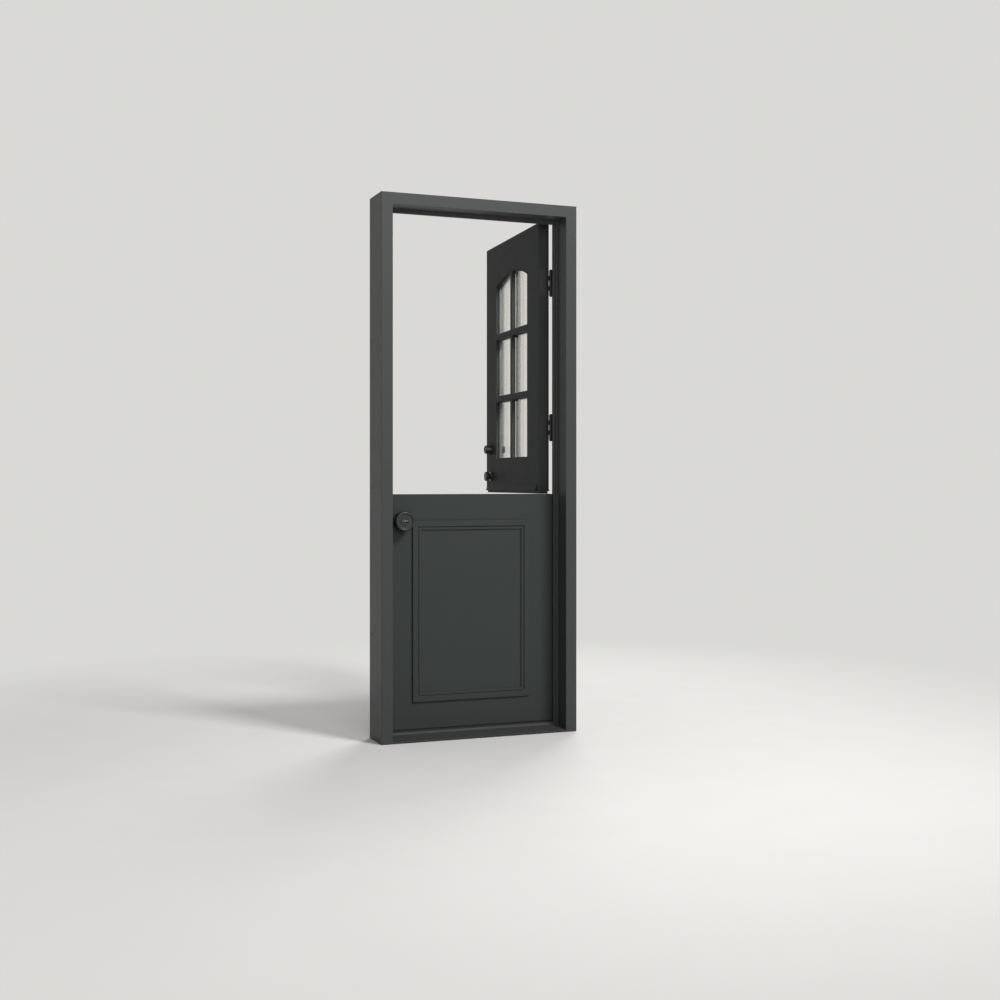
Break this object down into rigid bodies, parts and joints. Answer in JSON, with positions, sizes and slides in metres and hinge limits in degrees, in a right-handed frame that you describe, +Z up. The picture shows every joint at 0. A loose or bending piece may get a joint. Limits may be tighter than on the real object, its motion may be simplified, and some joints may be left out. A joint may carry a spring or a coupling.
{
  "type": "dutch stable door",
  "caption": "Steel stable door in its frame: panelled lower leaf, upper leaf with an arched barred window, butt hinges, knob locks, seals and sloped sill.",
  "frame": {"origin": "centre of the sill's underside, halfway through the frame's depth", "axes": "+X towards the hinge side, +Y into the house, +Z up; the frame's outdoor face is the low Y side"},
  "size_m": [0.8386, 0.8889, 2.07],
  "materials": {
    "frame_paint": "satin charcoal paint on steel",
    "leaf_paint": "satin charcoal paint on steel",
    "sill": "satin charcoal coated aluminium",
    "hinge_metal": "satin blackened steel",
    "lock_steel": "satin bare steel",
    "knob_black": "satin black plated metal",
    "rubber": "matte black rubber",
    "foam": "matte pale rigid foam",
    "glass": "polished clear glass",
    "spacer": "satin mill aluminium"
  },
  "bodies": {
    "frame": {"deadbolt_strike": "lock_steel", "frame_hinge_plates": "hinge_metal", "frame_screws": "hinge_metal", "frame_seal": "rubber", "head_jamb": "frame_paint", "head_stop": "frame_paint", "hinge_jamb": "frame_paint", "hinge_pins": "hinge_metal", "hinge_side_stop": "frame_paint", "latch_jamb": "frame_paint", "latch_side_stop": "frame_paint", "lower_latch_strike": "lock_steel", "threshold": "sill", "upper_latch_strike": "lock_steel"},
    "lower_leaf": {"bottom_sweep": "rubber", "dutch_bolt_keeper": "knob_black", "lower_hinge_plates": "hinge_metal", "lower_inner_moulding": "leaf_paint", "lower_inner_rose": "knob_black", "lower_inner_skin": "leaf_paint", "lower_latch_case": "lock_steel", "lower_leaf_channel": "leaf_paint", "lower_leaf_core": "foam", "lower_leaf_screws": "hinge_metal", "lower_outer_moulding": "leaf_paint", "lower_outer_rose": "knob_black", "lower_outer_skin": "leaf_paint"},
    "upper_leaf": {"deadbolt_case": "lock_steel", "deadbolt_cylinder": "knob_black", "deadbolt_rose": "knob_black", "dutch_bolt_guide": "knob_black", "glass_inner": "glass", "glass_outer": "glass", "glass_spacer": "spacer", "glazing_bead": "leaf_paint", "inner_window_bars": "leaf_paint", "meeting_cap": "leaf_paint", "meeting_seal": "rubber", "outer_window_bars": "leaf_paint", "upper_hinge_plates": "hinge_metal", "upper_inner_rose": "knob_black", "upper_inner_skin": "leaf_paint", "upper_latch_case": "lock_steel", "upper_leaf_channel": "leaf_paint", "upper_leaf_core": "foam", "upper_leaf_screws": "hinge_metal", "upper_outer_rose": "knob_black", "upper_outer_skin": "leaf_paint", "window_surround": "leaf_paint"},
    "lower_knob": {"lower_outer_knob": "knob_black", "lower_inner_knob": "knob_black"},
    "lower_latch": {"lower_latch_bolt": "lock_steel"},
    "upper_knob": {"upper_outer_knob": "knob_black", "upper_inner_knob": "knob_black"},
    "upper_latch": {"upper_latch_bolt": "lock_steel"},
    "deadbolt_turn": {"thumb_turn": "knob_black"},
    "deadbolt": {"deadbolt_bolt": "lock_steel"},
    "dutch_bolt": {"dutch_bolt_rod": "knob_black"}
  },
  "joints": [
    {"name": "lower_swing", "type": "hinge", "parent": "frame", "child": "lower_leaf", "pos_m": [0.3615, 0.0865, 0.4835], "axis": [0, 0, -1], "range_deg": [0, 170]},
    {"name": "upper_swing", "type": "hinge", "parent": "frame", "child": "upper_leaf", "pos_m": [0.3615, 0.0865, 1.49525], "axis": [0, 0, -1], "range_deg": [-94, 76]},
    {"name": "lower_knob_turn", "type": "hinge", "parent": "lower_leaf", "child": "lower_knob", "pos_m": [-0.29, 0.05622, 0.833], "axis": [0, 1, 0], "range_deg": [0, 60]},
    {"name": "lower_latch_slide", "type": "slide", "parent": "lower_leaf", "child": "lower_latch", "axis": [-1, 0, 0], "range_m": [0, 0.012]},
    {"name": "upper_knob_turn", "type": "hinge", "parent": "upper_leaf", "child": "upper_knob", "pos_m": [0.37675, 0.73852, 1.008], "axis": [0.9976, -0.0698, 0], "range_deg": [0, 60]},
    {"name": "upper_latch_slide", "type": "slide", "parent": "upper_leaf", "child": "upper_latch", "axis": [0.0698, 0.9976, 0], "range_m": [0, 0.012]},
    {"name": "deadbolt_thumb_turn", "type": "hinge", "parent": "upper_leaf", "child": "deadbolt_turn", "pos_m": [0.37675, 0.73852, 1.128], "axis": [0.9976, -0.0698, 0], "range_deg": [0, 90]},
    {"name": "deadbolt_slide", "type": "slide", "parent": "upper_leaf", "child": "deadbolt", "axis": [0.0698, 0.9976, 0], "range_m": [0, 0.025]},
    {"name": "dutch_bolt_slide", "type": "slide", "parent": "upper_leaf", "child": "dutch_bolt", "axis": [0, 0, -1], "range_m": [0, 0.03]}
  ],
  "couplings": [
    {"joint": "lower_latch_slide", "follows": "lower_knob_turn", "m_per_rad": 0.011459},
    {"joint": "upper_latch_slide", "follows": "upper_knob_turn", "m_per_rad": 0.011459},
    {"joint": "deadbolt_thumb_turn", "follows": "deadbolt_slide", "rad_per_m": 62.832}
  ]
}
